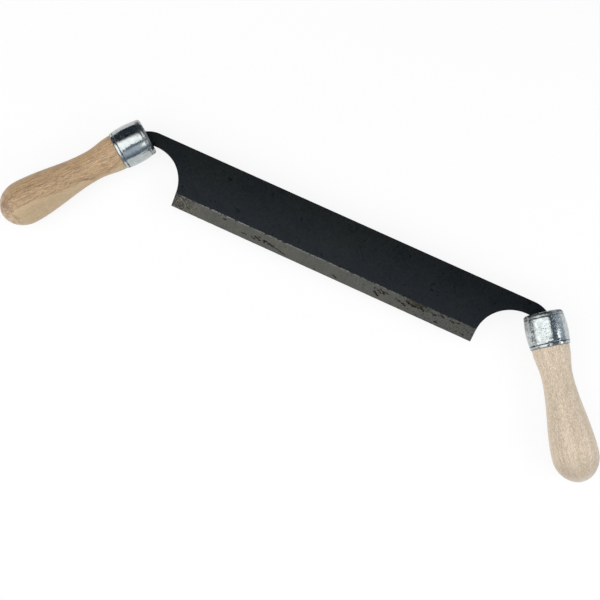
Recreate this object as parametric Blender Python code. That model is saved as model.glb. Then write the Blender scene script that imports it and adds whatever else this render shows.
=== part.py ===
"""Bark knife: a straight draw blade with a bent tang and a turned handle at each end.

Metres, +Z up. +X runs along the cutting edge, +Y from the edge to the spine, and the ground bevel faces up.
The tool lies on the swells of its handles, and the origin is under the middle of its bounding box.
"""

import math

import bmesh
import bpy
from mathutils import Vector

# Blade
EDGE_LENGTH = 0.250
BLADE_WIDTH = 0.047
BLADE_THICKNESS = 0.005
BEVEL_WIDTH = 0.010
EDGE_LAND = 0.0003
EDGE_BREAK = 0.0004
NOTCH_RADIUS = 0.030
NECK_WIDTH = 0.010
NECK_STRAIGHT = 0.0016

# Tangs, measured from the corner where the neck's centre line meets the handle's axis
HANDLE_SPLAY = math.radians(54.0)
BEND_RADIUS = 0.017
TANG_LENGTH = 0.085
TANG_TIP_WIDTH = 0.003

# Ferrules, whose closed front stands at that corner
FERRULE_LENGTH = 0.026
FERRULE_END_DIAMETER = 0.0295
FERRULE_BULGE = 0.001
FERRULE_WALL = 0.001
FERRULE_STEP = 0.00075
FERRULE_SHOULDER_RADIUS = 0.0025
HEM_LENGTH = 0.002
HEM_GROOVE_WIDTH = 0.0008
HEM_GROOVE_DEPTH = 0.0004

# Handles, measured along the axis from the ferrule's front
HANDLE_END = 0.127
WAIST_DIAMETER = 0.023
WAIST_POSITION = 0.0485
SWELL_DIAMETER = 0.0342
SWELL_POSITION = 0.107

# Fits and cutters
CLEARANCE = 0.0003
MORTISE_FUNNEL = 0.002
CUT_MARGIN = 0.005
WELD_DISTANCE = 1e-6

# Facets
TURN_STEPS = 40
NOTCH_STEPS = 14
BEND_STEPS = 8
SHOULDER_STEPS = 4
BARREL_STEPS = 8
GRIP_STEPS = 7
SWELL_STEPS = 9
BUTT_STEPS = 7
SHARP_ANGLE = math.radians(30.0)

# Finishes, each a colour, a roughness and a metallic value
BLACK_SCALE = ((0.014, 0.017, 0.021), 0.45, 0.6)
ZINC_COAT = ((0.62, 0.65, 0.68), 0.25, 1.0)
TAN_BEECH = ((0.52, 0.34, 0.19), 0.55, 0.0)
PALE_BEECH = ((0.66, 0.53, 0.40), 0.55, 0.0)

# Places worked out from the sizes
NECK_AXIS = BLADE_WIDTH - NECK_WIDTH / 2
NECK_END = EDGE_LENGTH / 2 + NOTCH_RADIUS + NECK_STRAIGHT
BEND_REACH = BEND_RADIUS * math.tan(HANDLE_SPLAY / 2)
CORNER = Vector((NECK_END + BEND_REACH, NECK_AXIS))
AXIS_HEIGHT = SWELL_DIAMETER / 2
TENON_FRONT = FERRULE_WALL + CLEARANCE
TENON_RADIUS = FERRULE_END_DIAMETER / 2 - FERRULE_WALL - CLEARANCE
LEFT, RIGHT = -1, 1


def clear_scene():
    for obj in list(bpy.data.objects):
        bpy.data.objects.remove(obj, do_unlink=True)


def finish(name, colour, roughness, metallic):
    """A plain Principled material."""
    material = bpy.data.materials.new(name)
    material.use_nodes = True
    shader = material.node_tree.nodes["Principled BSDF"]
    shader.inputs["Base Color"].default_value = (*colour, 1.0)
    shader.inputs["Roughness"].default_value = roughness
    shader.inputs["Metallic"].default_value = metallic
    return material


def add_empty(name, parent=None):
    empty = bpy.data.objects.new(name, None)
    empty.parent = parent
    bpy.context.scene.collection.objects.link(empty)
    return empty


def add_solid(name, shape, parent, material=None):
    """An object made from a bmesh, with round stretches shaded smooth."""
    bmesh.ops.remove_doubles(shape, verts=shape.verts[:], dist=WELD_DISTANCE)
    bmesh.ops.recalc_face_normals(shape, faces=shape.faces[:])
    mesh = bpy.data.meshes.new(name)
    shape.to_mesh(mesh)
    shape.free()
    mesh.shade_smooth()
    mesh.set_sharp_from_angle(angle=SHARP_ANGLE)
    if material:
        mesh.materials.append(material)
    solid = bpy.data.objects.new(name, mesh)
    solid.parent = parent
    bpy.context.scene.collection.objects.link(solid)
    return solid


def cut_away(solid, cutter):
    """Cuts the cutter's shape out of the solid and keeps the cutter as a hidden guide."""
    cutter.hide_render = True
    cutter.display_type = "WIRE"
    cut = solid.modifiers.new(cutter.name, "BOOLEAN")
    cut.operation = "DIFFERENCE"
    cut.solver = "EXACT"
    cut.object = cutter


def prism(outline, low, high):
    """A bmesh with an (x, y) outline raised from z = low to z = high."""
    shape = bmesh.new()
    base = shape.faces.new([shape.verts.new((x, y, low)) for x, y in outline])
    raised = bmesh.ops.extrude_face_region(shape, geom=[base])["geom"]
    top = [item for item in raised if isinstance(item, bmesh.types.BMVert)]
    bmesh.ops.translate(shape, verts=top, vec=(0, 0, high - low))
    return shape


def turning(profile, closed):
    """A bmesh turned about Z from (radius, height) points, as a ring or from axis to axis."""
    shape = bmesh.new()
    points = [shape.verts.new((radius, 0, height)) for radius, height in profile]
    ends = points[1:] + points[:1] if closed else points[1:]
    for start, end in zip(points, ends):
        shape.edges.new((start, end))
    wire = shape.verts[:] + shape.edges[:]
    bmesh.ops.spin(
        shape, geom=wire, cent=(0, 0, 0), axis=(0, 0, 1), angle=math.tau, steps=TURN_STEPS, use_merge=True
    )
    return shape


def arc(centre, radius, start, end, steps):
    """Points on a circle, with angles counted from +X towards +Y."""
    angles = [start + (end - start) * step / steps for step in range(steps + 1)]
    return [Vector((centre[0] + radius * math.cos(a), centre[1] + radius * math.sin(a))) for a in angles]


def ease(start, end, share):
    """A smooth change from start to end that is level at both."""
    return start + (end - start) * (1 - math.cos(math.pi * share)) / 2


def tang_half_width(distance):
    """Half the tang's width, which tapers from the end of the bend to the tip."""
    share = (distance - BEND_REACH) / (TANG_LENGTH - BEND_REACH)
    return (NECK_WIDTH + (TANG_TIP_WIDTH - NECK_WIDTH) * share) / 2


def bend_side(distance):
    """How far the bend's inner side stands from the handle's axis, this far along it from the corner."""
    inner_radius = BEND_RADIUS - NECK_WIDTH / 2
    return BEND_RADIUS - math.sqrt(inner_radius**2 - (BEND_REACH - distance) ** 2)


def blade_end_outline():
    """The right end of the blade, from the edge's corner round the notch and the tang to the spine."""
    quarter = math.pi / 2
    corner = Vector((EDGE_LENGTH / 2, 0))
    notch_centre = Vector((EDGE_LENGTH / 2 + NOTCH_RADIUS, BLADE_WIDTH - NECK_WIDTH - NOTCH_RADIUS))
    notch = arc(notch_centre, NOTCH_RADIUS, math.pi, quarter, NOTCH_STEPS)
    bend_centre = Vector((NECK_END, NECK_AXIS - BEND_RADIUS))
    turned = quarter - HANDLE_SPLAY
    inner = arc(bend_centre, BEND_RADIUS - NECK_WIDTH / 2, quarter, turned, BEND_STEPS)
    outer = arc(bend_centre, BEND_RADIUS + NECK_WIDTH / 2, turned, quarter, BEND_STEPS)
    along = Vector((math.cos(HANDLE_SPLAY), -math.sin(HANDLE_SPLAY)))
    across = Vector((math.sin(HANDLE_SPLAY), math.cos(HANDLE_SPLAY))) * TANG_TIP_WIDTH / 2
    tip = CORNER + along * TANG_LENGTH
    return [corner, *notch, *inner, tip - across, tip + across, *outer]


def bevel_wedge():
    """The wedge that grinding takes off the upper side along the edge."""
    slope = (BLADE_THICKNESS - EDGE_LAND) / BEVEL_WIDTH
    low = (-CUT_MARGIN, EDGE_LAND - slope * CUT_MARGIN)
    high = (BEVEL_WIDTH + CUT_MARGIN, BLADE_THICKNESS + slope * CUT_MARGIN)
    reach = EDGE_LENGTH / 2 + CUT_MARGIN
    wedge = prism([low, high, (low[0], high[1])], -reach, reach)
    for vert in wedge.verts:
        vert.co = (vert.co.z, vert.co.x, vert.co.y)
    return wedge


def make_blade(root):
    """The plate with its two tangs, its sharp corners broken and its edge ground from above."""
    right_end = blade_end_outline()
    left_end = [Vector((-point.x, point.y)) for point in reversed(right_end)]
    shape = prism(right_end + left_end, 0, BLADE_THICKNESS)
    rims = [
        edge
        for edge in shape.edges
        if edge.verts[0].co.z == edge.verts[1].co.z and max(vert.co.y for vert in edge.verts) > EDGE_LAND
    ]
    bmesh.ops.bevel(shape, geom=rims, offset=EDGE_BREAK, segments=1, affect="EDGES")
    blade = add_solid("blade", shape, root, finish("black_scale", *BLACK_SCALE))
    blade.location.z = AXIS_HEIGHT - BLADE_THICKNESS / 2
    grinder = add_solid("bevel_grinder", bevel_wedge(), blade)
    cut_away(blade, grinder)


def make_handle_axis(name, side, root):
    """An empty at the corner of the tang, with +Z along the handle towards its butt."""
    axis = add_empty(name, root)
    axis.location = (side * CORNER.x, CORNER.y, AXIS_HEIGHT)
    axis.rotation_euler = (math.pi / 2, 0, side * (math.pi / 2 - HANDLE_SPLAY))
    return axis


def barrel_radius(distance):
    """The ferrule's outer radius behind its shoulder, this far from its front."""
    middle = (FERRULE_LENGTH + FERRULE_SHOULDER_RADIUS) / 2
    half_length = (FERRULE_LENGTH - FERRULE_SHOULDER_RADIUS) / 2
    rise = 1 - ((distance - middle) / half_length) ** 2
    return FERRULE_END_DIAMETER / 2 + FERRULE_BULGE * rise


def ferrule_profile():
    """The cup's section: front hole, rounded shoulder, barrel with a hem groove, and the same inside."""
    hole = math.hypot(bend_side(0), BLADE_THICKNESS / 2) + CLEARANCE
    shoulder_centre = (FERRULE_END_DIAMETER / 2 - FERRULE_SHOULDER_RADIUS, FERRULE_SHOULDER_RADIUS)
    inner_radius = FERRULE_SHOULDER_RADIUS - FERRULE_WALL
    shoulder = arc(shoulder_centre, FERRULE_SHOULDER_RADIUS, -math.pi / 2, 0, SHOULDER_STEPS)
    inner_shoulder = arc(shoulder_centre, inner_radius, 0, -math.pi / 2, SHOULDER_STEPS)
    groove = FERRULE_LENGTH - HEM_LENGTH
    groove_start = groove - HEM_GROOVE_WIDTH
    barrel = []
    for step in range(1, BARREL_STEPS + 1):
        distance = FERRULE_SHOULDER_RADIUS + (groove_start - FERRULE_SHOULDER_RADIUS) * step / BARREL_STEPS
        barrel.append((barrel_radius(distance), distance))
    groove_middle = groove - HEM_GROOVE_WIDTH / 2
    hem = [
        (barrel_radius(groove_middle) - HEM_GROOVE_DEPTH, groove_middle),
        (barrel_radius(groove), groove),
        (barrel_radius(FERRULE_LENGTH), FERRULE_LENGTH),
    ]
    inside = []
    for step in range(BARREL_STEPS):
        distance = FERRULE_LENGTH - (FERRULE_LENGTH - FERRULE_SHOULDER_RADIUS) * step / BARREL_STEPS
        inside.append((barrel_radius(distance) - FERRULE_WALL, distance))
    return [(hole, 0), *shoulder, *barrel, *hem, *inside, *inner_shoulder, (hole, FERRULE_WALL)]


def handle_profile():
    """The turned grip: tenon, shoulder behind the ferrule, waist, swell and rounded butt."""
    chamfer = FERRULE_SHOULDER_RADIUS - FERRULE_WALL
    grip_start = FERRULE_LENGTH + CLEARANCE
    start_diameter = FERRULE_END_DIAMETER - 2 * FERRULE_STEP
    tenon = [
        (0, TENON_FRONT),
        (TENON_RADIUS - chamfer, TENON_FRONT),
        (TENON_RADIUS, TENON_FRONT + chamfer),
        (TENON_RADIUS, grip_start),
    ]
    grip = []
    for step in range(GRIP_STEPS):
        share = step / GRIP_STEPS
        radius = ease(start_diameter, WAIST_DIAMETER, share) / 2
        grip.append((radius, grip_start + (WAIST_POSITION - grip_start) * share))
    for step in range(SWELL_STEPS):
        share = step / SWELL_STEPS
        radius = ease(WAIST_DIAMETER, SWELL_DIAMETER, share) / 2
        grip.append((radius, WAIST_POSITION + (SWELL_POSITION - WAIST_POSITION) * share))
    butt = []
    for step in range(BUTT_STEPS):
        angle = math.pi / 2 * step / BUTT_STEPS
        rise = (HANDLE_END - SWELL_POSITION) * math.sin(angle)
        butt.append((SWELL_DIAMETER / 2 * math.cos(angle), SWELL_POSITION + rise))
    return [*tenon, *grip, *butt, (0, HANDLE_END)]


def mortise_cutter(side):
    """The hole for the tang: a mouth that clears the bend, a funnel and a taper that fits the spike."""
    mouth = TENON_FRONT - CUT_MARGIN
    taper = BEND_REACH + CLEARANCE + MORTISE_FUNNEL
    notch_side = bend_side(TENON_FRONT) + CLEARANCE
    far_side = NECK_WIDTH / 2 + CLEARANCE
    taper_side = tang_half_width(taper) + CLEARANCE
    tip_side = TANG_TIP_WIDTH / 2 + CLEARANCE
    end = TANG_LENGTH + CLEARANCE
    outline = [
        (far_side, mouth),
        (far_side, taper - MORTISE_FUNNEL),
        (taper_side, taper),
        (tip_side, end),
        (-tip_side, end),
        (-taper_side, taper),
        (-notch_side, taper - MORTISE_FUNNEL),
        (-notch_side, mouth),
    ]
    half_thickness = BLADE_THICKNESS / 2 + CLEARANCE
    cutter = prism([(side * across, along) for across, along in outline], -half_thickness, half_thickness)
    for vert in cutter.verts:
        vert.co = (vert.co.x, vert.co.z, vert.co.y)
    return cutter


def make_handle(name, side, axis, wood):
    """A turned handle with the tang's mortise cut into its front."""
    handle = add_solid(name + "_handle", turning(handle_profile(), closed=False), axis, wood)
    cutter = add_solid(name + "_mortise", mortise_cutter(side), axis)
    cut_away(handle, cutter)


def centre_over_origin(root):
    """Moves the tool so that the origin lies under the middle of its bounding box."""
    bpy.context.view_layer.update()
    graph = bpy.context.evaluated_depsgraph_get()
    corners = []
    for obj in root.children_recursive:
        if obj.type == "MESH" and not obj.hide_render:
            solid = obj.evaluated_get(graph)
            corners += [solid.matrix_world @ vert.co for vert in solid.data.vertices]
    for axis in range(2):
        places = [corner[axis] for corner in corners]
        root.location[axis] = -(min(places) + max(places)) / 2
    root.location.z = -min(corner.z for corner in corners)


def main():
    clear_scene()
    root = add_empty("bark_knife")
    make_blade(root)
    zinc = finish("zinc_coat", *ZINC_COAT)
    tan = finish("tan_beech", *TAN_BEECH)
    pale = finish("pale_beech", *PALE_BEECH)
    for name, side, wood in (("left", LEFT, tan), ("right", RIGHT, pale)):
        axis = make_handle_axis(name + "_handle_axis", side, root)
        add_solid(name + "_ferrule", turning(ferrule_profile(), closed=True), axis, zinc)
        make_handle(name, side, axis, wood)
    centre_over_origin(root)


main()
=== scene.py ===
"""Bark knife dressed for looks: forged blade, zinc-coated ferrules and turned beech handles.

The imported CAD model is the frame, in metres: +Z up, +X along the edge, +Y towards the spine.
"""

import math

import bmesh
import bpy
from mathutils import Euler, Matrix, Vector, noise


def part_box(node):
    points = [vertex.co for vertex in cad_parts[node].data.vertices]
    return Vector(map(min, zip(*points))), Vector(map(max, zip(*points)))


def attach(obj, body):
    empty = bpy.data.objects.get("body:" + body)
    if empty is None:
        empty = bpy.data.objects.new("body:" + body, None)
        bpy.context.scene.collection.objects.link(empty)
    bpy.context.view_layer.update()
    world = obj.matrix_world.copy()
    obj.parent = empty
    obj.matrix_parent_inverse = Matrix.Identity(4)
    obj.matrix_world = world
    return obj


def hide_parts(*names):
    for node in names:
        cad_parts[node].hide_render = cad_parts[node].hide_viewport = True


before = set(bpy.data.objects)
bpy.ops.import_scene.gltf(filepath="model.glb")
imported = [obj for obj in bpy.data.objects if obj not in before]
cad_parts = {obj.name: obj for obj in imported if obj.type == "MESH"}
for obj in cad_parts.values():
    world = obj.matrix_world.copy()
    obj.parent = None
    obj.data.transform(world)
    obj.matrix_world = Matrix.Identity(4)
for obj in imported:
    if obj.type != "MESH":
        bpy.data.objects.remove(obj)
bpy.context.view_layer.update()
BLADE_LOW, BLADE_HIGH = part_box("blade")

bl_info = {
    "name": "Bark Knife",
    "version": (1, 0, 0),
    "blender": (4, 5, 0),
    "location": "View3D > Sidebar > Bark Knife",
    "description": "Builds a bark knife: forged blade, zinc-coated ferrules, turned beech handles",
    "category": "Add Mesh",
}

BODY = "root"
MM_PER_METRE = 1000.0
LEFT, RIGHT = -1, 1
SIDES = (("left", LEFT), ("right", RIGHT))

# Fits as in the CAD part, and margins of cuts
CLEARANCE = 0.0003
MORTISE_FUNNEL = 0.002
CUT_MARGIN = 0.005
GRIND_OVERRUN = 5

# Fineness of the meshes
WELD_DISTANCE = 1e-7
NOTCH_STEPS = 60
BEND_STEPS = 24
RIM_STEPS = 3
BLADE_SLICE = 0.0015
BEVEL_SLICE = 0.0005
BEVEL_CUTS = 2
TURN_STEPS = 144
SHOULDER_STEPS = 10
BARREL_STEPS = 56
HEM_STEPS = 8
GRIP_ROWS = 26
SWELL_ROWS = 52
BUTT_ROWS = 30
TENON_ROWS = 4
FLOOR_CELLS = 8

# Angles of sharp edges, and how faces and edges are told apart by their direction
PLATE_SHARP = math.radians(10.0)
TURNED_SHARP = math.radians(40.0)
FLAT_NORMAL = 0.99
WALL_NORMAL = 0.1
GROUND_LEAN = 0.3
GROUND_RISE = 0.5
ALONG_SHARE = 0.9

# Unevenness that forging, grinding, pressing and sanding leave
PLATE_WAVE = 0.00007
PLATE_WAVE_SIZE = 45.0
RIDGE_WANDER = 0.00022
RIDGE_WANDER_SIZE = 160.0
EDGE_WEAR = 0.00008
EDGE_WEAR_SIZE = 260.0
CUP_WAVE = 0.00009
CUP_WAVE_SIZE = 95.0
CUP_REACH = 0.015
CRIMP_START = 0.0215
CRIMP_WAVE = 0.00040
CRIMP_SIZE = 340.0
GRIP_WAVE = 0.00012
GRIP_WAVE_SIZE = 45.0
GRIP_SEED = 3.0

# Crease that pressing left behind the ferrule's shoulder
CREASE_PLACE = 0.0036
CREASE_WIDTH = 0.0005
CREASE_DEPTH = 0.00016

# Strokes of scale left on the bevel, in 0.1 mm: start and end (along, across), half width
TENTH = 0.0001
SCALE_STROKES = (
    (-1135, 39, -1108, 36, 5),
    (-835, 71, -812, 68, 5),
    (-670, 35, -625, 37, 5),
    (-583, 37, -545, 28, 6),
    (-560, 51, -512, 37, 7),
    (-528, 60, -510, 57, 4),
    (-492, 48, -473, 34, 5),
    (-478, 49, -392, 34, 8),
    (-392, 34, -292, 16, 5),
    (-47, 14, -28, 11, 5),
    (103, 28, 134, 20, 6),
    (432, 65, 470, 60, 5),
    (440, 47, 476, 27, 8),
    (468, 62, 490, 48, 5),
    (480, 76, 520, 55, 9),
    (515, 71, 547, 65, 6),
    (610, 59, 700, 42, 7),
    (690, 76, 740, 61, 8),
    (740, 62, 800, 66, 8),
    (790, 82, 838, 60, 8),
    (906, 70, 940, 67, 6),
    (945, 26, 966, 23, 5),
    (970, 80, 1000, 76, 6),
    (1050, 77, 1085, 74, 7),
    (1108, 84, 1132, 81, 6),
    (1158, 27, 1184, 24, 6),
)

# Small dings in the ferrules: turn about the axis, distance from the front, width, depth
CUP_DINGS = {
    LEFT: (
        (1.35, 0.0085, 0.0035, 0.00006),
        (1.90, 0.0170, 0.0045, 0.00010),
        (0.70, 0.0150, 0.0030, 0.00008),
    ),
    RIGHT: (
        (1.95, 0.0065, 0.0030, 0.00012),
        (1.50, 0.0120, 0.0040, 0.00008),
        (1.10, 0.0180, 0.0035, 0.00010),
    ),
}

# How worn each ferrule's zinc coat is
ZINC_WEAR = {LEFT: 0.35, RIGHT: 1.0}

# Slant of the tan grip's grain: where it crosses the axis, and how fast it runs off
GRAIN_CROSSING = 0.068
GRAIN_SLANT = 0.066

# Colours of wear, marks and stains, and of the painted highlights under the ridge and on the rims
WARM_STEEL = (0.094, 0.090, 0.078)
RIDGE_WEAR_AND_HIGHLIGHT = (0.215, 0.222, 0.220)
LIGHT_MOTTLE = (0.178, 0.156, 0.138)
DARK_MOTTLE = (0.036, 0.033, 0.023)
RUST = (0.030, 0.027, 0.021)
OLIVE_FILM = (0.044, 0.042, 0.024)
KEPT_SCALE = (0.015, 0.0125, 0.010)
RIM_WEAR_AND_HIGHLIGHT = (0.07, 0.074, 0.074)
PALE_SIDE = (0.482, 0.356, 0.213)
BURNT_BUTT = (0.21, 0.105, 0.046)
DARK_BEECH = (0.440, 0.335, 0.236)
WOOD_FLECK = (0.40, 0.285, 0.195)
TAN_SPOT = (0.46, 0.27, 0.14)

# Camera
CAMERA_PLACE = Vector((0.05479, -0.09914, 0.76552))
CAMERA_AIM = Vector((-0.00396, -0.01817, 0.0171))
CAMERA_ROLL = math.radians(25.07)
SENSOR_WIDTH = 36.0

# Stage
WHITE = (1.0, 1.0, 1.0)
ROOM_BLUE = (0.74, 1.0, 1.34)
FLOOR_GLOW = 0.86
FLOOR_FADE = (0.5, 2.0)
PANEL_HEIGHT = 1.0
PANEL_CORNERS = (
    (-0.80, 0.55),
    (0.08, 0.55),
    (0.40, 0.10),
    (0.25, -0.04),
    (0.13, -0.13),
    (0.03, -0.26),
    (0.20, -1.5),
    (-2.6, -2.0),
    (-2.6, 0.0),
)
LAMP_PLACE = Vector((0.52, 0.0, 0.40))
LAMP_AIM = Vector((0.05, 0.0, 0.0))
LAMP_ASPECT = 0.45

# Soft lights far away that only shiny surfaces show: direction, brightness, spread
GLINTS = (
    (Vector((0.805, -0.180, 0.565)), 1.4, math.radians(13.0)),
    (Vector((0.720, 0.340, 0.605)), 3.6, math.radians(11.0)),
)


def number(name, description, default, **kind):
    """A property for a number."""
    return bpy.props.FloatProperty(name=name, description=description, default=default, **kind)


def length(name, description, default):
    """A property for a size in metres."""
    return number(name, description, default, min=0.0, precision=4, unit="LENGTH")


def colour(name, description, default):
    """A property for a linear colour."""
    return bpy.props.FloatVectorProperty(
        name=name, description=description, default=default, min=0.0, max=1.0, subtype="COLOR"
    )


class BladeSettings(bpy.types.PropertyGroup):
    """Sizes and colours of the forged blade"""

    edge_length: length("Edge length", "Length of the cutting edge", 0.250)
    width: length("Width", "From the edge to the spine", 0.047)
    thickness: length("Thickness", "Thickness of the plate", BLADE_HIGH.z - BLADE_LOW.z)
    bevel_width: length("Bevel width", "Width of the ground bevel, seen from above", 0.010)
    edge_land: length("Edge land", "Height of the blunt land at the edge", 0.0003)
    rim_round: length("Rim round", "Radius of the plate's rounded rims", 0.0005)
    notch_radius: length("Notch radius", "Radius of the notch at each end", 0.030)
    neck_width: length("Neck width", "Width of the neck above each notch", 0.010)
    neck_straight: length("Neck straight", "Straight stretch of the neck before its bend", 0.0016)
    bend_radius: length("Bend radius", "Radius of the bend at its centre line", 0.017)
    tang_length: length("Tang length", "From the corner of the bend to the tip", 0.085)
    tang_tip_width: length("Tang tip width", "Width of the tang at its tip", 0.003)
    scale_colour: colour("Scale colour", "Black forge scale", (0.0168, 0.0196, 0.0223))
    bevel_colour: colour("Bevel colour", "Bare ground steel", (0.091, 0.092, 0.082))


class FerruleSettings(bpy.types.PropertyGroup):
    """Sizes and colour of the pressed ferrules"""

    length: length("Length", "From the closed front to the open rim", 0.026)
    end_diameter: length("End diameter", "Outer diameter at both ends", 0.0295)
    bulge: length("Bulge", "How far the barrel's middle stands out over its ends", 0.001)
    wall: length("Wall", "Thickness of the sheet", 0.001)
    step: length("Step", "Step from the ferrule down to the grip", 0.00075)
    shoulder_radius: length("Shoulder radius", "Radius of the front's rounded shoulder", 0.0025)
    hem_length: length("Hem length", "Length of the hem at the rim", 0.002)
    hem_groove_width: length("Hem groove width", "Width of the groove before the hem", 0.0008)
    hem_groove_depth: length("Hem groove depth", "Depth of the groove before the hem", 0.0004)
    zinc_colour: colour("Zinc colour", "Bright zinc coat", (0.468, 0.503, 0.500))


class HandleSettings(bpy.types.PropertyGroup):
    """Sizes and colours of the turned handles"""

    splay: number("Splay", "Angle from the neck to the handle", math.radians(54.0), subtype="ANGLE")
    end: length("End", "From the ferrule's front to the butt", 0.127)
    waist_diameter: length("Waist diameter", "Thinnest part of the grip", 0.023)
    waist_position: length("Waist position", "From the ferrule's front to the waist", 0.0485)
    swell_diameter: length("Swell diameter", "Thickest part of the grip", 0.0342)
    swell_position: length("Swell position", "From the ferrule's front to the swell", 0.107)
    tan_colour: colour("Tan beech", "Wood of the left handle", (0.430, 0.284, 0.156))
    pale_colour: colour("Pale beech", "Wood of the right handle", (0.622, 0.505, 0.376))


class StageSettings(bpy.types.PropertyGroup):
    """Floor, light and camera"""

    floor_size: length("Floor size", "Side of the floor", 8.0)
    floor_colour: colour("Floor colour", "Plain white floor", (0.97, 0.97, 0.97))
    panel_light: number("Panel light", "Brightness of the overhead soft panel", 1.85, min=0.0)
    lamp_power: number("Lamp power", "Power of the side lamp", 0.95, min=0.0, unit="POWER")
    lamp_size: length("Lamp size", "Length of the side lamp", 0.50)
    lens: number("Lens", "Focal length on a 36 mm sensor", 60.0, min=1.0, unit="CAMERA")


class BarkKnifeSettings(bpy.types.PropertyGroup):
    """All settings of the bark knife"""

    blade: bpy.props.PointerProperty(type=BladeSettings)
    ferrule: bpy.props.PointerProperty(type=FerruleSettings)
    handle: bpy.props.PointerProperty(type=HandleSettings)
    stage: bpy.props.PointerProperty(type=StageSettings)


# Node trees


def math_method(operation, swapped=False):
    """An operator that adds a Math node, or its reflected form."""

    def method(self, other):
        pair = (other, self) if swapped else (self, other)
        return self.board.math(operation, *pair)

    return method


class Signal:
    """A socket that takes part in sums: each operator adds a Math node."""

    def __init__(self, board, socket):
        self.board = board
        self.socket = socket

    __add__ = math_method("ADD")
    __radd__ = math_method("ADD", swapped=True)
    __sub__ = math_method("SUBTRACT")
    __rsub__ = math_method("SUBTRACT", swapped=True)
    __mul__ = math_method("MULTIPLY")
    __rmul__ = math_method("MULTIPLY", swapped=True)
    __truediv__ = math_method("DIVIDE")
    __gt__ = math_method("GREATER_THAN")

    def __abs__(self):
        return self.board.math("ABSOLUTE", self)

    def ease(self, start, end, low=0.0, high=1.0):
        """A smooth step from low at start to high at end."""
        return self.board.add(
            "ShaderNodeMapRange",
            {"interpolation_type": "SMOOTHSTEP"},
            {"Value": self, "From Min": start, "From Max": end, "To Min": low, "To Max": high},
        )

    def fade(self, start, end):
        """A smooth step from 1 at start to 0 at end."""
        return self.ease(start, end, 1.0, 0.0)

    def split(self):
        """The three parts of a vector."""
        node = self.board.add("ShaderNodeSeparateXYZ", {}, {0: self}).socket.node
        return [Signal(self.board, socket) for socket in node.outputs]

    def stretch(self, factors):
        """A vector multiplied part by part."""
        return self.board.vector_math("MULTIPLY", self, factors)

    def noise(self, scale, detail=2.0, roughness=0.5, distortion=0.0):
        """Noise at this place."""
        kind = {"Detail": detail, "Roughness": roughness, "Distortion": distortion}
        return self.board.add("ShaderNodeTexNoise", {}, {"Vector": self, "Scale": scale, **kind})

    def drawn(self, across, along, detail=2.0, roughness=0.5):
        """Noise that is drawn out along the third axis."""
        return self.stretch((across, across, along)).noise(1.0, detail, roughness)


def find_socket(sockets, key):
    """A socket by its number, identifier or name."""
    if isinstance(key, int):
        return sockets[key]
    for socket in sockets:
        if key == socket.identifier:
            return socket
    return sockets[key]


class Board:
    """Adds nodes to one tree."""

    def __init__(self, tree):
        self.tree = tree

    def add(self, kind, settings=None, sockets=None, output=0):
        """A node with its settings set first and then its sockets; gives one of its outputs."""
        node = self.tree.nodes.new(kind)
        for key, value in (settings or {}).items():
            setattr(node, key, value)
        self.dress(node, sockets or {})
        return Signal(self, find_socket(node.outputs, output))

    def dress(self, node, values):
        """Sets or links sockets of a node."""
        for key, value in values.items():
            self.feed(find_socket(node.inputs, key), value)

    def feed(self, socket, value):
        """Links a signal to a socket, or sets its value."""
        if isinstance(value, Signal):
            self.tree.links.new(value.socket, socket)
        elif socket.type == "RGBA":
            socket.default_value = (*value[:3], 1.0)
        else:
            socket.default_value = value

    def other(self, signal, output):
        """Another output of the node that a signal comes from."""
        return Signal(self, find_socket(signal.socket.node.outputs, output))

    def math(self, operation, *values):
        return self.add("ShaderNodeMath", {"operation": operation}, dict(enumerate(values)))

    def vector_math(self, operation, *values, output=0):
        settings = {"operation": operation}
        return self.add("ShaderNodeVectorMath", settings, dict(enumerate(values)), output)

    def join(self, x, y, z):
        return self.add("ShaderNodeCombineXYZ", {}, {0: x, 1: y, 2: z})

    def show(self, shader):
        """Makes a shader the material's surface."""
        self.dress(self.tree.nodes["Material Output"], {"Surface": shader})

    def object_place(self):
        """The place on the piece, in Object coordinates."""
        return self.add("ShaderNodeTexCoord", {}, {}, "Object")

    def cell_colours(self, place, scale):
        """A colour for each Voronoi cell."""
        return self.add("ShaderNodeTexVoronoi", {}, {"Vector": place, "Scale": scale}, "Color")

    def blend(self, first, second, share, way="MIX"):
        """A colour between two."""
        settings = {"data_type": "RGBA", "blend_type": way}
        sockets = {"Factor_Float": share, "A_Color": first, "B_Color": second}
        return self.add("ShaderNodeMix", settings, sockets, "Result_Color")

    def shade(self, tone, amount):
        """A colour made darker or lighter by a factor."""
        return self.blend(tone, self.join(amount, amount, amount), 1.0, "MULTIPLY")

    def glow(self, tone, strength):
        return self.add("ShaderNodeEmission", {}, {"Color": tone, "Strength": strength})

    def attribute(self, name):
        return self.add("ShaderNodeAttribute", {"attribute_name": name}, {}, "Fac")

    def bump(self, height, strength, distance):
        sockets = {"Height": height, "Strength": strength, "Distance": distance}
        return self.add("ShaderNodeBump", {}, sockets, "Normal")


def new_finish(name):
    """A material with its node board and its Principled shader."""
    material = bpy.data.materials.new(name)
    material.use_nodes = True
    return material, Board(material.node_tree), material.node_tree.nodes["Principled BSDF"]


# Places


def edge_line():
    """The y of the cutting edge."""
    return BLADE_HIGH.y - bpy.context.scene.bark_knife.blade.width


def bend_reach(settings):
    """From the corner of the bend to the end of its curve."""
    return settings.blade.bend_radius * math.tan(settings.handle.splay / 2)


def handle_place(settings, side):
    """The corner of the bend, and the turn that lays +Z along the handle with +Y up."""
    blade = settings.blade
    reach = blade.edge_length / 2 + blade.notch_radius + blade.neck_straight + bend_reach(settings)
    middle = (BLADE_LOW.z + BLADE_HIGH.z) / 2
    corner = Vector((side * reach, BLADE_HIGH.y - blade.neck_width / 2, middle))
    return corner, Euler((math.pi / 2, 0.0, side * (math.pi / 2 - settings.handle.splay)))


def handle_matrix(settings, side):
    corner, turn = handle_place(settings, side)
    return Matrix.Translation(corner) @ turn.to_matrix().to_4x4()


# Meshes


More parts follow.
